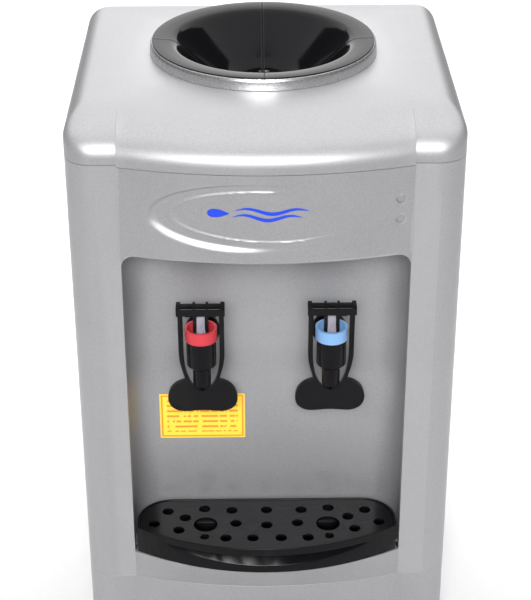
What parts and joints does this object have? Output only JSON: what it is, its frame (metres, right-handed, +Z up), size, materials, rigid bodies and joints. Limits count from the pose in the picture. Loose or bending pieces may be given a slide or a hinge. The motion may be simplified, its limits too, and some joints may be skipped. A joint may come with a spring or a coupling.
{
  "type": "countertop water dispenser",
  "caption": "Countertop bottled-water dispenser: silver cabinet, bottle seat on top, hot and cold push-lever taps in a niche, removable drip tray.",
  "frame": {"origin": "bottom centre of the bounding box, on the surface the feet stand on", "axes": "+X to the right seen from the front, +Y to the back, +Z up"},
  "size_m": [0.31, 0.33, 0.5096],
  "materials": {
    "cabinet_silver": "satin metallic paint with fine flake",
    "side_steel": "satin powder coat",
    "ring_silver": "bright satin plating",
    "gloss_black": "gloss",
    "collar_coral": "satin gloss",
    "collar_blue": "satin gloss",
    "lamp_grey": "frosted",
    "label_yellow": "matt sticker",
    "mark_blue": "screen print",
    "rubber_black": "matt",
    "silicone": "translucent",
    "polymer_white": "moulded",
    "foam_white": "expanded foam",
    "probe_clear": "clear moulded",
    "stainless": "brushed",
    "zinc_steel": "zinc plated",
    "aluminium": "extruded",
    "ceramic_white": "matt",
    "board_green": "solder mask",
    "wool": "glass wool",
    "switch_black": "satin",
    "rocker_red": "gloss",
    "rocker_green": "gloss"
  },
  "bodies": {
    "root": {"top_cover": "cabinet_silver", "front_frame": "cabinet_silver", "fascia_panel": "cabinet_silver", "niche_liner": "cabinet_silver", "base_tray": "cabinet_silver", "side_panel_left": "side_steel", "side_panel_right": "side_steel", "rear_panel": "side_steel", "bottle_ring": "ring_silver", "niche_label": "label_yellow", "lamp_lenses": "lamp_grey", "lamp_board": "board_green", "power_board": "board_green", "rear_screws": "zinc_steel", "mid_shelf": "zinc_steel", "tank_stand": "zinc_steel", "feet": "rubber_black", "cord_gland": "rubber_black", "tap_gaskets": "rubber_black", "cold_tank": "polymer_white", "cold_tank_lid": "polymer_white", "tap_nuts": "polymer_white", "drain_nipple": "polymer_white", "cold_tank_jacket": "foam_white", "cold_block": "aluminium", "heat_sink": "aluminium", "peltier_module": "ceramic_white", "fan_frame": "switch_black", "switch_hot_housing": "switch_black", "switch_cold_housing": "switch_black", "hot_tank": "stainless", "heater_band": "stainless", "hot_tank_jacket": "wool", "thermostats": "switch_black", "hose_cold": "silicone", "hose_hot": "silicone", "hose_feed": "silicone", "hose_drain": "silicone", "tap_hot_body": "gloss_black", "tap_hot_collar": "collar_coral", "tap_hot_spring": "stainless", "tap_cold_body": "gloss_black", "tap_cold_collar": "collar_blue", "tap_cold_spring": "stainless"},
    "funnel": {"bottle_funnel": "gloss_black", "bottle_probe": "probe_clear"},
    "drip_tray": {"drip_tray": "gloss_black"},
    "drip_grate": {"drip_grate": "gloss_black"},
    "tap_hot_stem": {"tap_hot_stem": "polymer_white", "tap_hot_seal": "silicone"},
    "tap_hot_lever": {"tap_hot_lever": "gloss_black"},
    "tap_cold_stem": {"tap_cold_stem": "polymer_white", "tap_cold_seal": "silicone"},
    "tap_cold_lever": {"tap_cold_lever": "gloss_black"},
    "fan_rotor": {"fan_rotor": "switch_black"},
    "switch_hot_rocker": {"switch_hot_rocker": "rocker_red"},
    "switch_cold_rocker": {"switch_cold_rocker": "rocker_green"},
    "drain_cap": {"drain_cap": "switch_black"}
  },
  "joints": [
    {"name": "funnel_lift", "type": "slide", "parent": "root", "child": "funnel", "axis": [0, 0, 1], "range_m": [0, 0.06]},
    {"name": "drip_tray_slide", "type": "slide", "parent": "root", "child": "drip_tray", "axis": [0, -1, 0], "range_m": [0, 0.08]},
    {"name": "drip_grate_lift", "type": "slide", "parent": "drip_tray", "child": "drip_grate", "axis": [0, 0, 1], "range_m": [0, 0.03]},
    {"name": "fan_spin", "type": "hinge", "parent": "root", "child": "fan_rotor", "pos_m": [0, 0.133, 0.35], "axis": [0, 1, 0], "continuous": true},
    {"name": "drain_cap_turn", "type": "hinge", "parent": "root", "child": "drain_cap", "pos_m": [-0.04, 0.16, 0.092], "axis": [0, 1, 0], "range_deg": [0, 360]},
    {"name": "tap_hot_lift", "type": "slide", "parent": "root", "child": "tap_hot_stem", "axis": [0, 0, 1], "range_m": [0, 0.0025], "deforming": ["tap_hot_spring"]},
    {"name": "tap_hot_push", "type": "hinge", "parent": "tap_hot_stem", "child": "tap_hot_lever", "pos_m": [-0.0525, -0.1285, 0.319], "axis": [1, 0, 0], "range_deg": [0, 12], "stiffness_Nm_per_rad": 0.085, "springref_deg": -14.44},
    {"name": "tap_cold_lift", "type": "slide", "parent": "root", "child": "tap_cold_stem", "axis": [0, 0, 1], "range_m": [0, 0.0025], "deforming": ["tap_cold_spring"]},
    {"name": "tap_cold_push", "type": "hinge", "parent": "tap_cold_stem", "child": "tap_cold_lever", "pos_m": [0.0525, -0.1285, 0.319], "axis": [1, 0, 0], "range_deg": [0, 12], "stiffness_Nm_per_rad": 0.085, "springref_deg": -14.44},
    {"name": "switch_hot_rock", "type": "hinge", "parent": "root", "child": "switch_hot_rocker", "pos_m": [-0.078, 0.1525, 0.14], "axis": [1, 0, 0], "range_deg": [0, 16]},
    {"name": "switch_cold_rock", "type": "hinge", "parent": "root", "child": "switch_cold_rocker", "pos_m": [-0.048, 0.1525, 0.14], "axis": [1, 0, 0], "range_deg": [0, 16]}
  ],
  "couplings": [
    {"joint": "tap_hot_lift", "follows": "tap_hot_push", "m_per_rad": 0.0119},
    {"joint": "tap_cold_lift", "follows": "tap_cold_push", "m_per_rad": 0.0119}
  ]
}
